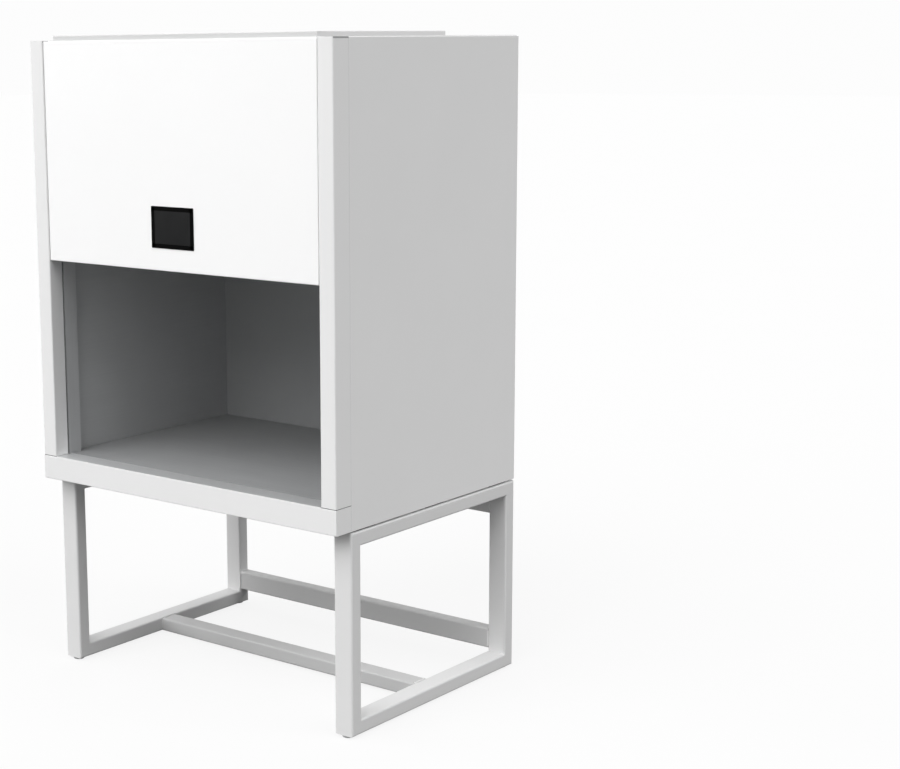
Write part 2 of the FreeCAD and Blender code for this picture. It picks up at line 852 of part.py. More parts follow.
def filter_inside(z0, z1):
    """The space between the frame's upright walls."""
    half = filter_half_width - filter_sheet
    return box(-half, half, y_filter + filter_sheet, y_filter_back - filter_sheet, z0, z1)


def hepa_frame():
    """A channel frame, open to the inside, whose pack is bedded in its walls."""
    inside = filter_inside(z_filter + filter_sheet, z_gasket - filter_sheet)
    return filter_ring(z_filter, z_gasket).cut(inside)


def hepa_gasket():
    return filter_ring(z_gasket, z_plenum)


def hepa_media():
    """The pleated pack, one folded sheet across the frame."""
    half = filter_half_width - filter_sheet
    low = z_filter + media_margin
    high = z_gasket - media_margin - media_sheet
    step = half / media_pleats
    fold = [(-half + i * step, low if i % 2 == 0 else high) for i in range(2 * media_pleats + 1)]
    outline = fold + [(x, z + media_sheet) for x, z in reversed(fold)]
    corners = [Vector(x, y_filter + filter_sheet, z) for x, z in outline]
    face = Part.Face(Part.makePolygon(corners + corners[:1]))
    return face.extrude(Vector(0, y_filter_back - y_filter - 2 * filter_sheet, 0))


def plenum_box():
    """The pressure box over the filter; the blower hangs from its top."""
    half = filter_half_width
    s = plenum_sheet
    outside = box(-half, half, y_filter, y_filter_back, z_plenum, z_deck)
    inside = box(-half + s, half - s, y_filter + s, y_filter_back - s, z_plenum + s, z_deck - s)
    w = filter_wall
    mouth = box(-half + w, half - w, y_filter + w, y_filter_back - w, z_plenum, z_plenum + s)
    hole_radius = throat_radius + bell_radius + deck_hole_gap
    hole = Part.makeCylinder(hole_radius, s, Vector(0, y_blower, z_deck - s))
    return outside.cut(inside).cut(mouth).cut(hole)


def flat_sided_cone(low_radius, high_radius):
    """A cone rolled in flats, from the wheel's throat up to the plenum's top."""
    low, high = [], []
    for index in range(cone_flats + 1):
        angle = 2 * math.pi * (index % cone_flats) / cone_flats
        x, y = math.cos(angle), math.sin(angle)
        low.append(Vector(low_radius * x, y_blower + low_radius * y, z_throat))
        high.append(Vector(high_radius * x, y_blower + high_radius * y, z_deck + cone_sheet))
    faces = [Part.Face(Part.makePolygon(ring)) for ring in (low, high)]
    for i in range(cone_flats):
        faces.append(Part.Face(Part.makePolygon([low[i], low[i + 1], high[i + 1], high[i], low[i]])))
    return Part.Solid(Part.Shell(faces))


def inlet_cone():
    """The inlet on the plenum's top: a square plate and a cone that narrows to the wheel."""
    s = cone_sheet
    flare = throat_radius + bell_radius
    rim = flare + cone_flange
    plate = box(-rim, rim, y_blower - rim, y_blower + rim, z_deck, z_deck + s)
    mouth = flat_sided_cone(throat_radius - s, flare)
    return joined([plate, flat_sided_cone(throat_radius, flare + s)]).cut(mouth)


def blade_line(turn):
    """The (x, y) points of one backward-bent blade, turned about the shaft by a small angle."""
    outer = wheel_radius - blade_edge_inset
    middle = (blade_inner_radius + outer) / 2
    points = []
    for radius, sweep in ((blade_inner_radius, 0), (middle, blade_mid_sweep), (outer, blade_sweep)):
        angle = math.radians(turn - sweep)
        points.append((radius * math.cos(angle), y_blower + radius * math.sin(angle)))
    return points


def front_ring():
    z0 = z_wheel_top - wheel_sheet
    disc = Part.makeCylinder(wheel_radius, wheel_sheet, Vector(0, y_blower, z0))
    return disc.cut(Part.makeCylinder(collar_radius, wheel_sheet, Vector(0, y_blower, z0)))


def blower_impeller():
    """A backward-curved wheel: back plate, hub, bent blades and a front ring."""
    s = wheel_sheet
    blade = plan_prism(blade_line(0) + blade_line(blade_turn)[::-1], z_wheel + s, z_wheel_top - s)
    pieces = [
        Part.makeCylinder(wheel_radius, s, Vector(0, y_blower, z_wheel)),
        Part.makeCylinder(hub_radius, hub_height, Vector(0, y_blower, z_hub)),
        front_ring(),
    ]
    for index in range(blade_count):
        copy = blade.copy()
        copy.rotate(Vector(0, y_blower, 0), Vector(0, 0, 1), index * 360 / blade_count)
        pieces.append(copy)
    bore = Part.makeCylinder(shaft_radius + shaft_running_gap, hub_height, Vector(0, y_blower, z_hub))
    return joined(pieces).cut(bore)


def blower_motor():
    """The motor under the wheel and the shaft that carries the wheel."""
    z_tip = z_hub + hub_height
    case = Part.makeCylinder(motor_radius, motor_height, Vector(0, y_blower, z_motor))
    shaft = Part.makeCylinder(shaft_radius, z_tip - z_motor, Vector(0, y_blower, z_motor))
    return joined([case, shaft])


def motor_mount():
    """The cross under the motor and the rods that hang it from the plenum's top."""
    z0 = z_motor - mount_plate
    half = mount_arm_width / 2
    reach = mount_reach
    across = box(-reach, reach, y_blower - half, y_blower + half, z0, z_motor)
    along = box(-half, half, y_blower - reach, y_blower + reach, z0, z_motor)
    pieces = [across, along]
    r = mount_rod / 2
    end = reach - half
    for x, y in ((end, 0), (-end, 0), (0, end), (0, -end)):
        pieces.append(box(x - r, x + r, y_blower + y - r, y_blower + y + r, z_motor, z_deck - plenum_sheet))
    return joined(pieces)


def control_box():
    """The electronics box on the plenum's top, with its fixing feet."""
    y1 = y_filter_back - control_rear_gap
    y0 = y1 - control_depth
    x1 = filter_half_width - control_side_gap
    x0 = x1 - control_width
    s = strong_sheet
    body = rounded(box(x0, x1, y0, y1, z_deck, z_deck + control_height), control_corner, "Z")
    c = control_corner
    feet = box(x0 - control_foot, x1 + control_foot, y0 + c, y1 - c, z_deck, z_deck + s)
    inside = box(x0 + s, x1 - s, y0 + s, y1 - s, z_deck, z_deck + control_height - s)
    return joined([body, feet]).cut(inside)


def all_pieces():
    pieces = {}
    for side, word in ((-1, "left"), (1, "right")):
        loop = stand_side_loop(side)
        pieces["stand_leg_front_" + word] = loop["leg_front"]
        pieces["stand_leg_rear_" + word] = loop["leg_rear"]
        pieces["stand_top_rail_" + word] = loop["top_rail"]
        pieces["stand_bottom_rail_" + word] = loop["bottom_rail"]
    handed = {
        "front_post": front_post, "side_panel": side_panel, "liner": side_liner, "sash_guide": sash_guide,
        "counterweight": counterweight,
    }
    for name, make in handed.items():
        left = make()
        pieces[name + "_left"] = left
        pieces[name + "_right"] = mirrored(left)
    pairs = {
        "post_caps": post_cap, "panel_catches": panel_catch, "sash_carriers": sash_carrier,
        "pulley_brackets": pulley_bracket, "sash_pulleys": sash_pulley, "sash_belts": sash_belt,
    }
    for name, make in pairs.items():
        pieces[name] = pair(make())
    singles = [
        stand_cross_member, stand_rear_rail_low, stand_rear_rail_top, glide_feet, isolation_pads,
        base_pan, front_beam, rear_panel, mains_inlet, roof_panel, roof_intake_cover, prefilter_mat,
        header_rail, work_tray, liner_back, diffuser_screen, led_batten,
        front_panel, display_housing, display_screen, hinge_panel_leaf, hinge_fixed_leaf, hinge_pin,
        sash_glass, sash_handle,
        hepa_support_frame, hepa_frame, hepa_gasket, hepa_media, plenum_box, inlet_cone,
        blower_impeller, blower_motor, motor_mount, control_box,
    ]
    for make in singles:
        pieces[make.__name__] = make()
    return pieces


os.makedirs("parts", exist_ok=True)
for node, shape in all_pieces().items():
    shape.exportStep("parts/" + node + ".step")
    solids = len(shape.Solids)
    print(node, "solids", solids, "valid", shape.isValid(), "volume", round(shape.Volume / 1000, 1), "cm3")
print("sash travel", sash_travel, "pulley radius", pulley_radius, "axle", y_axle, z_axle)
print("hinge", y_hinge, z_hinge, "blower", y_blower, "top", z_cover)
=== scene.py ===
import math

import bmesh
import bpy
from mathutils import Matrix, Vector, noise


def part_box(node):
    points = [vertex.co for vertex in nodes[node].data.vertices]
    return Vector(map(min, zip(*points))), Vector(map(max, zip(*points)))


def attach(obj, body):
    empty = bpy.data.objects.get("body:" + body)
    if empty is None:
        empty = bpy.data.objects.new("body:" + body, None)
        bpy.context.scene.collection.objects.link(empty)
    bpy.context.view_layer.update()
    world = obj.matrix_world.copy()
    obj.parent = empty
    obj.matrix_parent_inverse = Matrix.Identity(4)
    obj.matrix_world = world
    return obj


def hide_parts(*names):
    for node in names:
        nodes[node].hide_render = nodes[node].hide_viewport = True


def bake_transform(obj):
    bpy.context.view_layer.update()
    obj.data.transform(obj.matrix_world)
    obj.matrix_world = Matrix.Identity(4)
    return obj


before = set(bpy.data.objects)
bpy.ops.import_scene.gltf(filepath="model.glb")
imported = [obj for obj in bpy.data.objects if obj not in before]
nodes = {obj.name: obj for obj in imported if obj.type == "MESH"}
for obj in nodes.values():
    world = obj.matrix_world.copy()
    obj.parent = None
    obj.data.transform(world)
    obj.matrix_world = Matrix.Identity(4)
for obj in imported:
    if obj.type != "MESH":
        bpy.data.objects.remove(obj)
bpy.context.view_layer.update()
mm = 0.001
X, Y, Z = range(3)
to_front, to_rear, upwards = (0, -1, 0), (0, 1, 0), (0, 0, 1)
facing = 0.9  # A face looks a way if its normal has at least this share along it


# Colours and nodes

def srgb(code):
    """A linear colour from an sRGB hex value."""
    parts = [int(code[i:i + 2], 16) / 255 for i in (0, 2, 4)]
    linear = [c / 12.92 if c <= 0.04045 else ((c + 0.055) / 1.055) ** 2.4 for c in parts]
    return (*linear, 1.0)


def per_metre(size_mm):
    """A pattern's scale from the real size of one repeat, in millimetres."""
    return 1000.0 / size_mm


def put(tree, kind, settings=None, links=None):
    """Adds one node, with its settings by property or socket name and its links by socket name."""
    made = tree.nodes.new(kind)
    for key, value in (settings or {}).items():
        if isinstance(key, str) and hasattr(made, key):
            setattr(made, key, value)
        else:
            made.inputs[key].default_value = value
    for key, source in (links or {}).items():
        tree.links.new(source, made.inputs[key])
    return made


def new_finish(name, **sockets):
    """A material with one Principled shader, and the values that are the same all over its surface."""
    material = bpy.data.materials.new(name)
    material.use_nodes = True
    tree = material.node_tree
    shader = tree.nodes["Principled BSDF"]
    for key, value in sockets.items():
        shader.inputs[key.replace("_", " ")].default_value = value
    place = put(tree, "ShaderNodeTexCoord").outputs["Object"]
    return material, tree, shader, place


def vary(tree, shader, tone, low, high, dulling=None, smoothest=0.0, roughest=1.0, relief=None, depth_mm=0.0,
         strength=1.0):
    """What varies over a surface: its tone between two hex values, its roughness and its fine relief."""
    ramp = put(tree, "ShaderNodeValToRGB", links={"Fac": tone})
    ramp.color_ramp.elements[0].color = srgb(low)
    ramp.color_ramp.elements[1].color = srgb(high)
    tree.links.new(ramp.outputs["Color"], shader.inputs["Base Color"])
    if dulling is not None:
        dull = put(tree, "ShaderNodeMapRange", {"To Min": smoothest, "To Max": roughest}, {"Value": dulling})
        tree.links.new(dull.outputs["Result"], shader.inputs["Roughness"])
    if relief is not None:
        bump = put(tree, "ShaderNodeBump", {"Distance": depth_mm * mm, "Strength": strength},
                   {"Height": relief})
        tree.links.new(bump.outputs["Normal"], shader.inputs["Normal"])


# Finishes

def powder_coat(name, low, high, roughness):
    """Polyester powder coat baked on metal: satin or matt, with a faint orange peel and a cloudy tone.

    The peel is about 2 mm across on the real sheet and is drawn at 5 mm, so that it shows.
    """
    cloud_mm, peel_mm, unevenness = 260, 5, 0.06
    material, tree, shader, place = new_finish(name, IOR=1.5)
    clouds = put(tree, "ShaderNodeTexNoise", {"Scale": per_metre(cloud_mm), "Detail": 3.0}, {"Vector": place})
    peel = put(tree, "ShaderNodeTexNoise", {"Scale": per_metre(peel_mm), "Detail": 2.0}, {"Vector": place})
    vary(tree, shader, tone=clouds.outputs["Fac"], low=low, high=high,
         dulling=peel.outputs["Fac"], smoothest=roughness - unevenness, roughest=roughness + unevenness,
         relief=peel.outputs["Fac"], depth_mm=0.05, strength=0.35)
    return material


def brushed_steel(name, grain, low, high, roughness):
    """Steel brushed, rolled or drawn one way: long fine streaks that break the shine along the grain.

    The lines are about 0.3 mm apart on the real metal and are drawn at 3 mm, so that they show.
    """
    streak_mm, line_mm, cloud_mm = 500, 3, 180
    cloud_share, unevenness = 0.35, 0.08
    material, tree, shader, place = new_finish(name, Metallic=1.0)
    scale = [per_metre(streak_mm if axis == grain else line_mm) for axis in "XYZ"]
    turned = put(tree, "ShaderNodeMapping", {"Scale": scale}, {"Vector": place})
    lines = put(tree, "ShaderNodeTexNoise", {"Scale": 1.0, "Detail": 4.0},
                {"Vector": turned.outputs["Vector"]})
    clouds = put(tree, "ShaderNodeTexNoise", {"Scale": per_metre(cloud_mm), "Detail": 2.0}, {"Vector": place})
    mixed = put(tree, "ShaderNodeMath", {"operation": "MULTIPLY_ADD", 1: cloud_share},
                {0: clouds.outputs["Fac"], 2: lines.outputs["Fac"]})
    span = put(tree, "ShaderNodeMapRange", {"From Min": 0.3, "From Max": 1.05},
               {"Value": mixed.outputs["Value"]})
    vary(tree, shader, tone=span.outputs["Result"], low=low, high=high,
         dulling=lines.outputs["Fac"], smoothest=roughness - unevenness, roughest=roughness + unevenness,
         relief=lines.outputs["Fac"], depth_mm=0.02, strength=0.25)
    return material


def galvanised(name):
    """Hot-dip galvanised sheet: crystals of zinc, each a slightly different grey."""
    spangle_mm = 14
    material, tree, shader, place = new_finish(name, Metallic=1.0)
    spangle = put(tree, "ShaderNodeTexVoronoi", {"Scale": per_metre(spangle_mm)}, {"Vector": place})
    grey = put(tree, "ShaderNodeRGBToBW", links={"Color": spangle.outputs["Color"]})
    vary(tree, shader, tone=grey.outputs["Val"], low="9A9DA0", high="BDC0C2",
         dulling=grey.outputs["Val"], smoothest=0.34, roughest=0.52)
    return material


def anodised(name):
    """Natural anodised aluminium extrusion: fine lines along its length under a satin skin.

    The lines are about 0.2 mm apart on the real extrusion and are drawn at 1.5 mm, so that they show.
    """
    streak_mm, line_mm = 300, 1.5
    material, tree, shader, place = new_finish(name, Metallic=1.0)
    scale = [per_metre(streak_mm), per_metre(line_mm), per_metre(line_mm)]
    drawn = put(tree, "ShaderNodeMapping", {"Scale": scale}, {"Vector": place})
    lines = put(tree, "ShaderNodeTexNoise", {"Scale": 1.0, "Detail": 3.0},
                {"Vector": drawn.outputs["Vector"]})
    vary(tree, shader, tone=lines.outputs["Fac"], low="B4B7BA", high="CDD0D2",
         dulling=lines.outputs["Fac"], smoothest=0.28, roughest=0.42,
         relief=lines.outputs["Fac"], depth_mm=0.02, strength=0.2)
    return material


def moulded(name, low, high, roughness, gloss=0.5):
    """Plastic from a spark-eroded mould, or tooled sealant: a fine even grain that dulls the shine.

    The grain is about 0.3 mm across on the real surface and is drawn at 1.2 mm, so that it shows.
    """
    grain_mm, unevenness = 1.2, 0.08
    material, tree, shader, place = new_finish(name, IOR=1.5, Specular_IOR_Level=gloss)
    grain = put(tree, "ShaderNodeTexNoise", {"Scale": per_metre(grain_mm), "Detail": 2.0}, {"Vector": place})
    vary(tree, shader, tone=grain.outputs["Fac"], low=low, high=high,
         dulling=grain.outputs["Fac"], smoothest=roughness - unevenness, roughest=roughness + unevenness,
         relief=grain.outputs["Fac"], depth_mm=0.05, strength=0.3)
    return material


def display_glass(name):
    """The touch panel that is off: near-black glass with a faint haze of finger marks in its gloss."""
    smear_mm = 45
    material, tree, shader, place = new_finish(name, IOR=1.52, Specular_IOR_Level=0.12)
    smear = put(tree, "ShaderNodeTexNoise", {"Scale": per_metre(smear_mm), "Detail": 5.0}, {"Vector": place})
    vary(tree, shader, tone=smear.outputs["Fac"], low="0A0B0C", high="101112",
         dulling=smear.outputs["Fac"], smoothest=0.12, roughest=0.3)
    return material


def float_glass(name):
    """Toughened float glass: clear, with the green cast of its iron and a trace of dust."""
    dust_mm = 120
    material, tree, shader, place = new_finish(name, IOR=1.52, Transmission_Weight=1.0)
    dust = put(tree, "ShaderNodeTexNoise", {"Scale": per_metre(dust_mm), "Detail": 4.0}, {"Vector": place})
    vary(tree, shader, tone=dust.outputs["Fac"], low="E9F3F0", high="F2F8F6",
         dulling=dust.outputs["Fac"], smoothest=0.0, roughest=0.05)
    return material


def rubber(name):
    """Moulded rubber: matte black with a grey bloom."""
    bloom_mm = 9
    material, tree, shader, place = new_finish(name, IOR=1.52)
    bloom = put(tree, "ShaderNodeTexNoise", {"Scale": per_metre(bloom_mm), "Detail": 4.0}, {"Vector": place})
    vary(tree, shader, tone=bloom.outputs["Fac"], low="161616", high="2A2A2A",
         dulling=bloom.outputs["Fac"], smoothest=0.7, roughest=0.92,
         relief=bloom.outputs["Fac"], depth_mm=0.1, strength=0.4)
    return material


def filter_cloth(name, fibre_mm, low, high):
    """Bonded fibre: a tangle of pale threads with painted shade in the gaps between them.

    The real threads are thinner than 0.1 mm, and tufts of them are drawn instead, so that they show.
    """
    thread_share = 1.2
    material, tree, shader, place = new_finish(name, IOR=1.5, Sheen_Weight=0.2)
    threads = put(tree, "ShaderNodeTexVoronoi", {"feature": "DISTANCE_TO_EDGE", "Scale": per_metre(fibre_mm)},
                  {"Vector": place})
    tangle = put(tree, "ShaderNodeTexNoise", {"Scale": per_metre(fibre_mm * 2), "Detail": 6.0},
                 {"Vector": place})
    both = put(tree, "ShaderNodeMath", {"operation": "MULTIPLY_ADD", 1: thread_share},
               {0: threads.outputs["Distance"], 2: tangle.outputs["Fac"]})
    # The tone and the relief share one value, so the low gaps between the tufts are darker: painted shade.
    vary(tree, shader, tone=both.outputs["Value"], low=low, high=high,
         dulling=tangle.outputs["Fac"], smoothest=0.85, roughest=1.0,
         relief=both.outputs["Value"], depth_mm=0.6, strength=0.6)
    return material


def opal_plastic(name):
    """Extruded opal polycarbonate: milky, lets some light in, with a fine frosting.

    The frosting is finer than 0.1 mm on the real lens and is drawn at 3 mm, so that it shows.
    """
    frost_mm = 3
    material, tree, shader, place = new_finish(name, IOR=1.58, Subsurface_Weight=0.3, Subsurface_Scale=0.004)
    frost = put(tree, "ShaderNodeTexNoise", {"Scale": per_metre(frost_mm), "Detail": 3.0}, {"Vector": place})
    vary(tree, shader, tone=frost.outputs["Fac"], low="EFEFEB", high="F7F7F4",
         dulling=frost.outputs["Fac"], smoothest=0.35, roughest=0.5)
    return material


shell_paint = powder_coat("powder_coated_steel_grey", "E8E8E8", "ECECEC", 0.42)
# The stand's matt coat is a little darker than the cabinet's: painted shade for the cabinet's shadow over the
# stand.
stand_coat_with_painted_shade = powder_coat("powder_coated_tube_painted_shade", "DDDDDD", "E2E2E2", 0.88)
# The two low rails have a greyer copy of the stand's coat: painted shade for the deeper shadow under the
# cabinet.
rail_coat_painted_shade = powder_coat("powder_coated_rail_painted_shade", "C6C6C6", "CACACA", 0.88)
# The roof's coat is a greyer copy of the cabinet's coat: painted shade that keeps the top from going white
# under the overhead lamps.
roof_coat_painted_shade = powder_coat("powder_coated_roof_painted_shade", "CECECE", "D2D2D2", 0.7)
panel_paint = powder_coat("powder_coated_steel_white", "F9F9F9", "FCFCFC", 0.38)
tray_steel = brushed_steel("brushed_stainless_along_width", "X", "A0A1A2", "ADAEAF", 0.85)
wall_steel = brushed_steel("brushed_stainless_along_depth", "Y", "BBBCBD", "C9CACB", 0.88)
# The back wall's steel is a darker, rougher copy of the side walls' steel: painted shade deep in the chamber.
back_steel_painted_shade = brushed_steel("brushed_stainless_back_wall_painted_shade", "X", "B3B4B5", "BFC0C1", 0.92)
# The sill's steel is a real strip and painted shade: it renders the sill darker than the beam's paint.
sill_steel_with_painted_shade = brushed_steel("brushed_stainless_sill_painted_shade", "X", "DCDDDE", "E6E7E8", 0.6)
guide_steel = brushed_steel("brushed_stainless_upright", "Z", "BEBFC0", "CCCDCE", 0.7)
zinc_sheet = galvanised("galvanised_sheet")
bare_aluminium = anodised("anodised_aluminium")
black_frame = moulded("moulded_black_abs", "020202", "040404", 0.6, gloss=0.02)
black_plastic = moulded("moulded_black_acetal", "141415", "1F1F20", 0.5)
cap_plastic = moulded("moulded_grey_cap", "9C9D9E", "A6A7A8", 0.5)
glide_plastic = moulded("moulded_grey_polyethylene", "B0B1B2", "BCBDBE", 0.5)
# A dark sealant: a real seal and painted shade for the shadow lines in the seams.
sealant_and_painted_shade = moulded("tooled_silicone_sealant_painted_shade", "3E3F40", "48494A", 0.6)
screen_glass = display_glass("display_cover_glass")
clear_glass = float_glass("toughened_float_glass")
black_rubber = rubber("moulded_rubber")
mat_fibre = filter_cloth("bonded_polyester_mat", fibre_mm=6, low="B9B9B2", high="E6E6E0")
pleat_paper = filter_cloth("glass_fibre_paper", fibre_mm=2.5, low="D8D8D2", high="F2F2EE")
opal_lens = opal_plastic("opal_polycarbonate")
motor_coat = powder_coat("painted_cast_aluminium", "2A2B2C", "36373A", 0.5)
dark_steel = brushed_steel("hot_rolled_steel_bar", "Z", "3A3B3D", "55575A", 0.55)
belt_band = brushed_steel("spring_steel_band", "Z", "6F7174", "8A8C8F", 0.4)
plated_steel = brushed_steel("nickel_plated_steel", "Y", "B4B3AE", "C6C5C0", 0.3)

# These low rails take the greyer coat: painted shade.
low_rails = ["stand_cross_member", "stand_rear_rail_low"]
finishes = {
    stand_coat_with_painted_shade: [n for n in nodes if n.startswith("stand_") and n not in low_rails],
    rail_coat_painted_shade: low_rails,
    shell_paint: ["base_pan", "front_beam", "front_post_left", "front_post_right", "side_panel_left",
                  "side_panel_right", "rear_panel", "header_rail"],
    roof_coat_painted_shade: ["roof_panel", "roof_intake_cover"],
    panel_paint: ["front_panel"],
    tray_steel: ["work_tray", "diffuser_screen"],
    back_steel_painted_shade: ["liner_back"],
    wall_steel: ["liner_left", "liner_right"],
    guide_steel: ["sash_guide_left", "sash_guide_right"],
    belt_band: ["sash_belts"],
    zinc_sheet: ["hinge_panel_leaf", "hinge_fixed_leaf", "hinge_pin", "pulley_brackets", "hepa_support_frame",
                 "plenum_box", "inlet_cone", "motor_mount", "control_box"],
    bare_aluminium: ["sash_handle", "hepa_frame", "blower_impeller"],
    black_frame: ["display_housing"],
    screen_glass: ["display_screen"],
    black_plastic: ["mains_inlet", "sash_carriers", "sash_pulleys", "panel_catches"],
    cap_plastic: ["post_caps"],
    clear_glass: ["sash_glass"],
    black_rubber: ["isolation_pads", "hepa_gasket"],
    glide_plastic: ["glide_feet"],
    mat_fibre: ["prefilter_mat"],
    pleat_paper: ["hepa_media"],
    opal_lens: ["led_batten"],
    motor_coat: ["blower_motor"],
    dark_steel: ["counterweight_left", "counterweight_right"],
}
for finish, names in finishes.items():
    for name in names:
        nodes[name].data.materials.clear()
        nodes[name].data.materials.append(finish)


# Shaping helpers

def block(bm, low, high):
    """Adds a plain box between two corners, to be shaped further, and gives its vertices."""
    low, high = Vector(low), Vector(high)
    size = Matrix.Diagonal((*(high - low), 1.0))
    return bmesh.ops.create_cube(bm, size=1.0, matrix=Matrix.Translation((low + high) / 2) @ size)["verts"]


def round_edges(bm, edges, radius, steps=2):
    """Rounds these edges to a radius, in a few flat steps."""
    bmesh.ops.bevel(bm, geom=list(edges), offset=radius, offset_type="OFFSET", segments=steps, profile=0.5,
                    affect="EDGES", clamp_overlap=True, material=-1)


def edges_of(verts):
    """The edges at these vertices, each once."""
    return list(dict.fromkeys(e for v in verts for e in v.link_edges))


def reach_along(edge, axis):
    """How far an edge reaches along X, Y or Z."""
    return abs(edge.verts[0].co[axis] - edge.verts[1].co[axis])


def edges_along(edges, axis, least=mm):
    """The edges that reach farther than a length along X, Y or Z."""
    return [e for e in edges if reach_along(e, axis) > least]


def face_towards(faces, direction):
    """The one of these faces that lies farthest in a direction and looks that way."""
    direction = Vector(direction)
    looking = [f for f in faces if f.normal.dot(direction) > facing]
    return max(looking, key=lambda f: f.calc_center_median().dot(direction))


def rod(bm, middle, axis, length, radius, sides, rounding, steps=2):
    """Adds a round bar along Y or Z with rounded ends."""
    turn = Matrix.Rotation(math.pi / 2, 4, "X") if axis == Y else Matrix.Identity(4)
    made = bmesh.ops.create_cone(bm, cap_ends=True, segments=sides, radius1=radius, radius2=radius,
                                 depth=length, matrix=Matrix.Translation(middle) @ turn)["verts"]
    ends = [e for e in edges_of(made) if reach_along(e, axis) < mm]
    round_edges(bm, ends, rounding, steps)


def piece(bm, name, finish, body=None):
    """Turns a finished bmesh into a piece with one finish, which rides on a body if one is given."""
    crease = math.radians(35)
    bmesh.ops.recalc_face_normals(bm, faces=bm.faces[:])
    mesh = bpy.data.meshes.new(name)
    bm.to_mesh(mesh)
    bm.free()
    mesh.materials.append(finish)
    mesh.shade_smooth()
    mesh.set_sharp_from_angle(angle=crease)
    made = bpy.data.objects.new(name, mesh)
    bpy.context.scene.collection.objects.link(made)
    made.modifiers.new("even_shading", "WEIGHTED_NORMAL").keep_sharp = True
    if body:
        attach(made, body)
    return made


# Sash and its belts

def sash_pane():
    """The glass with its edges ground and polished."""
    ground_edge = 1.2 * mm
    low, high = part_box("sash_glass")
    bm = bmesh.new()
    block(bm, low, high)
    round_edges(bm, bm.edges, ground_edge)
    made = piece(bm, "sash_pane", clear_glass, "sash")
    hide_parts("sash_glass")


def sash_belts():
    """Each belt in three stretches: over the pulley, down to the sash and down to the weight."""
    half_width, half_thick, soft_edge = 3.0 * mm, 0.5 * mm, 0.3 * mm
    half_pulley, wrap_steps = 5 * mm, 24
    low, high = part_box("sash_pulleys")
    axle_y, axle_z = (low.y + high.y) / 2, (low.z + high.z) / 2
    wrap_low, wrap_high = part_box("sash_belts")
    radius = (wrap_high.y - wrap_low.y) / 2 - half_thick
    carrier_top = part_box("sash_carriers")[1].z
    reach = Vector((half_width, half_thick, 0.0))
    for side, hand in ((-1, "left"), (1, "right")):
        pulley_x = side * ((high.x - low.x) / 2 - half_pulley)
        weight_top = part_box("counterweight_" + hand)[1].z
        start = Vector((pulley_x, axle_y - radius, axle_z))
        end = Vector((pulley_x, axle_y + radius, axle_z))

        bm = bmesh.new()
        lie = Matrix.Translation(start) @ Matrix.Diagonal((2 * half_width, 2 * half_thick, 1.0, 1.0))
        bmesh.ops.create_grid(bm, x_segments=1, y_segments=1, size=0.5, matrix=lie)
        bmesh.ops.spin(bm, geom=bm.verts[:] + bm.edges[:] + bm.faces[:], cent=(pulley_x, axle_y, axle_z),
                       axis=(1, 0, 0), dvec=(0, 0, 0), angle=-math.pi, steps=wrap_steps, use_merge=False,
                       use_duplicate=False)
        piece(bm, "belt_wrap_" + hand, belt_band, "cabinet")

        for name, top, bottom, body in (("belt_to_weight_", start, weight_top, "weight_" + hand),
                                        ("belt_to_sash_", end, carrier_top, "sash")):
            foot = Vector((top.x, top.y, bottom))
            bm = bmesh.new()
            block(bm, foot - reach, top + reach)
            round_edges(bm, edges_along(bm.edges, Z, half_width), soft_edge)
            run = piece(bm, name + hand, belt_band)
            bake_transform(run)
    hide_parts("sash_belts")


# Display

def display():
    """The touch display: a moulded frame with a sunk glass and the closed body behind the panel."""
    corner, corner_steps, frame_edge, glass_edge = 3 * mm, 4, 0.6 * mm, 0.4 * mm
    body_step = 8 * mm
    low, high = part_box("display_housing")
    glass_low, glass_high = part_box("display_screen")
    frame_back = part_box("front_panel")[0].y
    border = glass_low.x - low.x
    bm = bmesh.new()
    block(bm, low, (high.x, frame_back, high.z))
    round_edges(bm, edges_along(bm.edges, Y), corner, corner_steps)
    round_edges(bm, face_towards(bm.faces, to_front).edges, frame_edge)
    front = face_towards(bm.faces, to_front)
    bmesh.ops.inset_region(bm, faces=[front], thickness=border - frame_edge, use_even_offset=True)
    sunk = bmesh.ops.extrude_discrete_faces(bm, faces=[front])["faces"]
    bmesh.ops.translate(bm, verts=sunk[0].verts, vec=(0, glass_high.y - low.y, 0))
    back = face_towards(bm.faces, to_rear)
    bmesh.ops.inset_region(bm, faces=[back], thickness=body_step, use_even_offset=True)
    body = bmesh.ops.extrude_discrete_faces(bm, faces=[back])["faces"]
    bmesh.ops.translate(bm, verts=body[0].verts, vec=(0, high.y - frame_back, 0))
    made = piece(bm, "display_frame", black_frame, "front_panel_unit")
    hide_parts("display_housing")

    bm = bmesh.new()
    block(bm, glass_low, glass_high)
    round_edges(bm, face_towards(bm.faces, to_front).edges, glass_edge)
    made = piece(bm, "display_cover", screen_glass, "front_panel_unit")
    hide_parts("display_screen")


# Screws, seals and small fittings

def screw_head(bm, place, out, radius, height):
    """A low button head with a round socket, standing on a surface."""
    sides, crown, rim, socket = 12, 0.6 * height, 0.3 * radius, 0.5 * height
    up = Vector(out).to_track_quat("Z", "Y").to_matrix().to_4x4()
    seat = Matrix.Translation(place) @ up @ Matrix.Translation((0, 0, height / 2))
    made = bmesh.ops.create_cone(bm, cap_ends=True, segments=sides, radius1=radius, radius2=radius,
                                 depth=height, matrix=seat)["verts"]
    top = face_towards({f for v in made for f in v.link_faces}, out)
    round_edges(bm, top.edges, crown)
    head = [f for f in bm.faces if (f.calc_center_median() - Vector(place)).length < 2 * radius]
    top = face_towards(head, out)
    bmesh.ops.inset_region(bm, faces=[top], thickness=rim, use_even_offset=True)
    bmesh.ops.translate(bm, verts=top.verts[:], vec=-socket * Vector(out))


def spread(first, last, count):
    """Places at equal steps from the first to the last."""
    return [first + (last - first) * i / (count - 1) for i in range(count)]


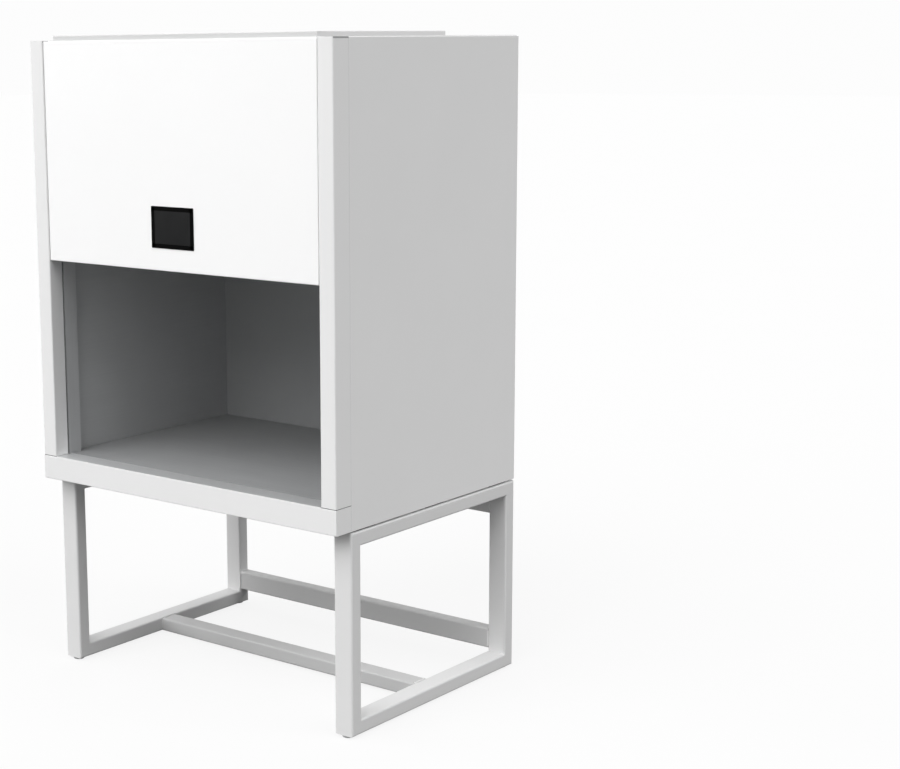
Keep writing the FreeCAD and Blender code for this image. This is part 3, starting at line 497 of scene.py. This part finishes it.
def shell_screws():
    """Button-head screws along the rear wall's edges and in the rear skirt of the intake cover."""
    wall_head, cover_head, head_height = 4.5 * mm, 4 * mm, 1.1 * mm
    edge, cover_edge = 20 * mm, 60 * mm
    wall_count, cover_count = 7, 5
    low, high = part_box("rear_panel")
    bm = bmesh.new()
    for z in spread(low.z + edge, high.z - edge, wall_count):
        for x in (low.x + edge, high.x - edge):
            screw_head(bm, (x, high.y, z), to_rear, wall_head, head_height)
    for x in spread(low.x + edge, high.x - edge, wall_count)[1:-1]:
        for z in (low.z + edge, high.z - edge):
            screw_head(bm, (x, high.y, z), to_rear, wall_head, head_height)
    piece(bm, "rear_wall_screws", plated_steel, "cabinet")

    low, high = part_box("roof_intake_cover")
    bm = bmesh.new()
    for x in spread(low.x + cover_edge, high.x - cover_edge, cover_count):
        screw_head(bm, (x, high.y, (low.z + high.z) / 2), to_rear, cover_head, head_height)
    piece(bm, "intake_cover_screws", plated_steel, "cabinet")


def glide_feet():
    """Turned glides: low discs with a rounded tread and a rounded crown."""
    radius, sides, rounding, rounding_steps = 18 * mm, 32, 2.2 * mm, 3
    low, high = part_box("glide_feet")
    tall = high.z - low.z
    bm = bmesh.new()
    for x in (low.x + radius, high.x - radius):
        for y in (low.y + radius, high.y - radius):
            rod(bm, (x, y, low.z + tall / 2), Z, tall, radius, sides, rounding, rounding_steps)
    made = piece(bm, "turned_glides", glide_plastic, "cabinet")
    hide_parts("glide_feet")


def sill_strip():
    """A stainless strip on the sill, between the posts, behind a painted hem on the beam's front edge. The
    strip is partly painted shade: it renders the sill darker than the beam's paint.
    """
    thick, hem, setback = 0.8 * mm, 2.4 * mm, 0.1 * mm
    hem_edge, strip_edge = 0.2 * mm, 0.3 * mm
    post_gap, tray_gap = 1 * mm, 0.5 * mm
    beam_low, beam_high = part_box("front_beam")
    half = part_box("front_post_right")[0].x - post_gap
    tray_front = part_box("work_tray")[0].y
    hem_front = beam_low.y + setback
    hem_back = hem_front + hem
    top = beam_high.z + thick

    bm = bmesh.new()
    block(bm, (-half, hem_front, beam_high.z - hem), (half, hem_back, top))
    round_edges(bm, face_towards(bm.faces, upwards).edges, hem_edge)
    piece(bm, "sill_hem", shell_paint, "cabinet")

    # The stainless strip: partly painted shade on the sill.
    bm = bmesh.new()
    block(bm, (-half, hem_back, beam_high.z), (half, tray_front - tray_gap, top))
    round_edges(bm, face_towards(bm.faces, upwards).edges, strip_edge)
    piece(bm, "sill_strip", sill_steel_with_painted_shade, "cabinet")


def seam_seals():
    """Sealant in the upright seams beside the posts, and a gasket in the seam under each post. Both are dark
    seals and painted shade: they draw the shadow lines in the seams.
    """
    bead, sides, depth, proud, end_gap = 1.2 * mm, 10, 0.5 * mm, 0.1 * mm, 4 * mm
    shrink, wall, soft_edge = 0.6 * mm, 2.0 * mm, 0.4 * mm
    beam_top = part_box("front_beam")[1].z
    for side, hand in ((-1, "left"), (1, "right")):
        low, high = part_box("side_panel_" + hand)
        skin = high.x if side > 0 else low.x
        middle = (skin - side * (bead + depth), low.y + bead - proud, (low.z + high.z) / 2)
        bm = bmesh.new()
        rod(bm, middle, Z, high.z - low.z - end_gap, bead, sides, soft_edge)
        piece(bm, "seam_sealant_and_shade_" + hand, sealant_and_painted_shade, "cabinet")

        low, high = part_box("front_post_" + hand)
        x0, x1 = low.x + shrink, high.x - shrink
        outer_x0, outer_x1 = (x1 - wall + shrink, x1) if side > 0 else (x0, x0 + wall - shrink)
        z0, z1 = beam_top, beam_top + wall
        bm = bmesh.new()
        block(bm, (x0, low.y + shrink, z0), (x1, low.y + wall, z1))
        block(bm, (outer_x0, low.y + wall, z0), (outer_x1, high.y, z1))
        round_edges(bm, edges_along(bm.edges, Z), soft_edge)
        # The black gasket is also painted shade for the shadow line under the post.
        piece(bm, "post_gasket_and_shade_" + hand, black_rubber, "cabinet")


def weld_beads():
    """Fillet welds, painted over, where the cross members meet the side loops of the stand."""
    bead, sides, rounding = 3 * mm, 8, 1.5 * mm
    corner_gap, floor_gap = 14 * mm, 10 * mm
    bm = bmesh.new()
    for name in ("stand_cross_member", "stand_rear_rail_low", "stand_rear_rail_top"):
        low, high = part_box(name)
        middle = (low + high) / 2
        for x in (low.x, high.x):
            for z in (low.z, high.z):
                if z > floor_gap:
                    rod(bm, (x, middle.y, z), Y, high.y - low.y - corner_gap, bead, sides, rounding)
            rod(bm, (x, low.y, middle.z), Z, high.z - low.z - corner_gap, bead, sides, rounding)
    piece(bm, "stand_weld_beads", stand_coat_with_painted_shade, "cabinet")


def inlet_pins():
    """Plated contact pins in the mains inlet."""
    pitch, soft_edge = 12 * mm, 0.4 * mm
    root_depth, tip_depth = 3 * mm, 2.6 * mm
    reach = Vector((1.3 * mm, 0.0, 2.3 * mm))
    low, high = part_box("mains_inlet")
    middle = (low + high) / 2
    bm = bmesh.new()
    for step in (-1, 0, 1):
        x = middle.x + step * pitch
        root = Vector((x, low.y + root_depth, middle.z))
        tip = Vector((x, high.y - tip_depth, middle.z))
        made = block(bm, root - reach, tip + reach)
        round_edges(bm, edges_of(made), soft_edge)
    piece(bm, "inlet_pins", plated_steel, "cabinet")


def filter_mat():
    """The pre-filter's fibre mat, lofty and a little uneven, cut to lie under the cover."""
    cell, sink, loft_height, rim_drop = 12 * mm, 2 * mm, 1.1 * mm, 3 * mm
    broad_wave, fine_wave, fine_share = 40 * mm, 14 * mm, 0.6
    low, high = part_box("prefilter_mat")
    middle = (low + high) / 2
    columns, rows = round((high.x - low.x) / cell), round((high.y - low.y) / cell)
    bm = bmesh.new()
    lie = Matrix.Translation((middle.x, middle.y, high.z - sink))
    lie = lie @ Matrix.Diagonal((high.x - low.x, high.y - low.y, 1.0, 1.0))
    bmesh.ops.create_grid(bm, x_segments=columns, y_segments=rows, size=0.5, matrix=lie)
    rim = {v for e in bm.edges if e.is_boundary for v in e.verts}
    for v in bm.verts:
        loft = noise.noise(v.co / broad_wave) + fine_share * noise.noise(v.co / fine_wave)
        v.co.z += loft_height * loft - (rim_drop if v in rim else 0.0)
    skirt = bmesh.ops.extrude_edge_only(bm, edges=[e for e in bm.edges if e.is_boundary])["geom"]
    for v in skirt:
        if isinstance(v, bmesh.types.BMVert):
            v.co.z = low.z
    bmesh.ops.holes_fill(bm, edges=[e for e in bm.edges if e.is_boundary])
    made = piece(bm, "fibre_mat", mat_fibre, "cabinet")
    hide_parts("prefilter_mat")


def lamp():
    """The lamp: an extruded back, an opal lens bowed downwards, and a cap on each end."""
    lens_depth, lens_gap, lens_sides = 8 * mm, 1 * mm, 40
    back_edge, cap, cap_corner, corner_steps = 1.5 * mm, 6 * mm, 6 * mm, 4
    low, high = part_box("led_batten")
    split = low.z + lens_depth
    middle = (low + high) / 2
    bm = bmesh.new()
    block(bm, (low.x + cap, low.y, split), (high.x - cap, high.y, high.z))
    round_edges(bm, edges_along(bm.edges, X, cap), back_edge)
    made = piece(bm, "lamp_back", bare_aluminium, "cabinet")
    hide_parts("led_batten")

    bm = bmesh.new()
    half = (high.y - low.y) / 2 - lens_gap
    lie = Matrix.Translation((middle.x, middle.y, split)) @ Matrix.Diagonal((1.0, half, split - low.z, 1.0))
    lie = lie @ Matrix.Rotation(math.pi / 2, 4, "Y")
    bmesh.ops.create_cone(bm, cap_ends=True, segments=lens_sides, radius1=1.0, radius2=1.0,
                          depth=high.x - low.x - 2 * cap, matrix=lie)
    bmesh.ops.bisect_plane(bm, geom=bm.verts[:] + bm.edges[:] + bm.faces[:], plane_co=(0, 0, split),
                           plane_no=upwards, clear_outer=True)
    bmesh.ops.holes_fill(bm, edges=[e for e in bm.edges if e.is_boundary])
    piece(bm, "lamp_lens", opal_lens, "cabinet")

    bm = bmesh.new()
    for x0, x1 in ((low.x, low.x + cap), (high.x - cap, high.x)):
        made = block(bm, (x0, low.y, low.z), (x1, high.y, high.z))
        lower = [e for e in edges_along(edges_of(made), X) if e.verts[0].co.z < split]
        round_edges(bm, lower, cap_corner, corner_steps)
    piece(bm, "lamp_end_caps", cap_plastic, "cabinet")


def panel_seal():
    """A soft strip round the back of the front panel, which closes it against the posts."""
    sheet, hinge_room = 1.2 * mm, 60 * mm
    width, thick, edge, rounding, rounding_steps = 10 * mm, 4 * mm, 4 * mm, 1.5 * mm, 3
    low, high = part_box("front_panel")
    skin = low.y + sheet
    bottom, top = low.z + edge, high.z - hinge_room
    bm = bmesh.new()
    block(bm, (low.x + edge, skin, bottom), (high.x - edge, skin + thick, bottom + width))
    for x0 in (low.x + edge, high.x - edge - width):
        block(bm, (x0, skin, bottom + width), (x0 + width, skin + thick, top))
    back = [f for f in bm.faces if f.normal.y > facing]
    round_edges(bm, dict.fromkeys(e for f in back for e in f.edges), rounding, rounding_steps)
    piece(bm, "panel_seal", black_rubber, "front_panel_unit")


sash_pane()
sash_belts()
display()
shell_screws()
glide_feet()
sill_strip()
seam_seals()
weld_beads()
inlet_pins()
filter_mat()
lamp()
panel_seal()


# Light, floor and camera

def soft_lamp(name, power, round_from_front, height):
    """A broad lamp far off, by its direction in degrees: round from the front to the right, and up."""
    breadth = 50
    around, up = math.radians(round_from_front), math.radians(height)
    data = bpy.data.lights.new(name, "SUN")
    data.energy = power
    data.angle = math.radians(breadth)
    made = bpy.data.objects.new(name, data)
    towards = Vector((math.cos(up) * math.sin(around), -math.cos(up) * math.cos(around), math.sin(up)))
    made.rotation_euler = towards.to_track_quat("Z", "Y").to_euler()
    bpy.context.scene.collection.objects.link(made)


def seen_rays(tree):
    """1 for the rays that show the background, straight or by way of a shine or a glass, and 0 for light."""
    path = put(tree, "ShaderNodeLightPath")
    direct = put(tree, "ShaderNodeMath", {"operation": "MAXIMUM"},
                 {0: path.outputs["Is Camera Ray"], 1: path.outputs["Is Glossy Ray"]})
    seen = put(tree, "ShaderNodeMath", {"operation": "MAXIMUM"},
               {0: direct.outputs["Value"], 1: path.outputs["Is Transmission Ray"]})
    return seen.outputs["Value"]


def studio():
    """An even pale room: four broad lamps, and a world and a floor that look whiter than they light."""
    white = srgb("FFFFFF")
    sky_light, sky_seen, floor_glow = 0.3, 0.98, 0.86
    floor_half, floor_cloud_mm = 60.0, 900
    scene = bpy.context.scene
    scene.view_settings.view_transform = "Standard"

    world = bpy.data.worlds.new("studio")
    world.use_nodes = True
    tree = world.node_tree
    backdrop = tree.nodes["Background"]
    level = put(tree, "ShaderNodeMapRange", {"To Min": sky_light, "To Max": sky_seen},
                {"Value": seen_rays(tree)})
    backdrop.inputs["Color"].default_value = white
    tree.links.new(level.outputs["Result"], backdrop.inputs["Strength"])
    scene.world = world

    soft_lamp("key", power=1.95, round_from_front=-60, height=10)
    soft_lamp("overhead", power=2.05, round_from_front=0, height=46)
    soft_lamp("fill", power=1.44, round_from_front=90, height=40)
    soft_lamp("back", power=0.85, round_from_front=-145, height=22)

    ground = bmesh.new()
    bmesh.ops.create_grid(ground, x_segments=1, y_segments=1, size=floor_half)
    mesh = bpy.data.meshes.new("floor")
    ground.to_mesh(mesh)
    ground.free()
    floor = bpy.data.objects.new("floor", mesh)
    scene.collection.objects.link(floor)
    material, tree, shader, place = new_finish("pale_floor", Roughness=1.0, Specular_IOR_Level=0.0)
    clouds = put(tree, "ShaderNodeTexNoise", {"Scale": per_metre(floor_cloud_mm), "Detail": 2.0},
                 {"Vector": place})
    vary(tree, shader, tone=clouds.outputs["Fac"], low="585858", high="5A5A5A")
    glow = put(tree, "ShaderNodeMath", {"operation": "MULTIPLY", 1: floor_glow}, {0: seen_rays(tree)})
    shader.inputs["Emission Color"].default_value = white
    tree.links.new(glow.outputs["Value"], shader.inputs["Emission Strength"])
    mesh.materials.append(material)


def camera():
    """The photograph's viewpoint: place in mm, angles in degrees, and focal length and centre in pixels."""
    place = Vector((3750.4, -4356.4, 1976.3)) * mm
    yaw, pitch, roll = (math.radians(a) for a in (-40.311, -10.359, -0.672))
    photo_width, focal, centre_x = 900, 1846.5, 290.0
    ahead = Vector((math.sin(yaw) * math.cos(pitch), math.cos(yaw) * math.cos(pitch), math.sin(pitch)))
    level = Vector((math.cos(yaw), -math.sin(yaw), 0.0))
    upright = level.cross(ahead)
    right = math.cos(roll) * level + math.sin(roll) * upright
    up = -math.sin(roll) * level + math.cos(roll) * upright
    data = bpy.data.cameras.new("camera")
    data.sensor_fit = "HORIZONTAL"
    data.sensor_width = 36.0
    data.lens = focal / photo_width * data.sensor_width
    data.shift_x = (photo_width / 2 - centre_x) / photo_width
    made = bpy.data.objects.new("camera", data)
    made.matrix_world = Matrix.Translation(place) @ Matrix((right, up, -ahead)).transposed().to_4x4()
    bpy.context.scene.collection.objects.link(made)
    bpy.context.scene.camera = made


studio()
camera()
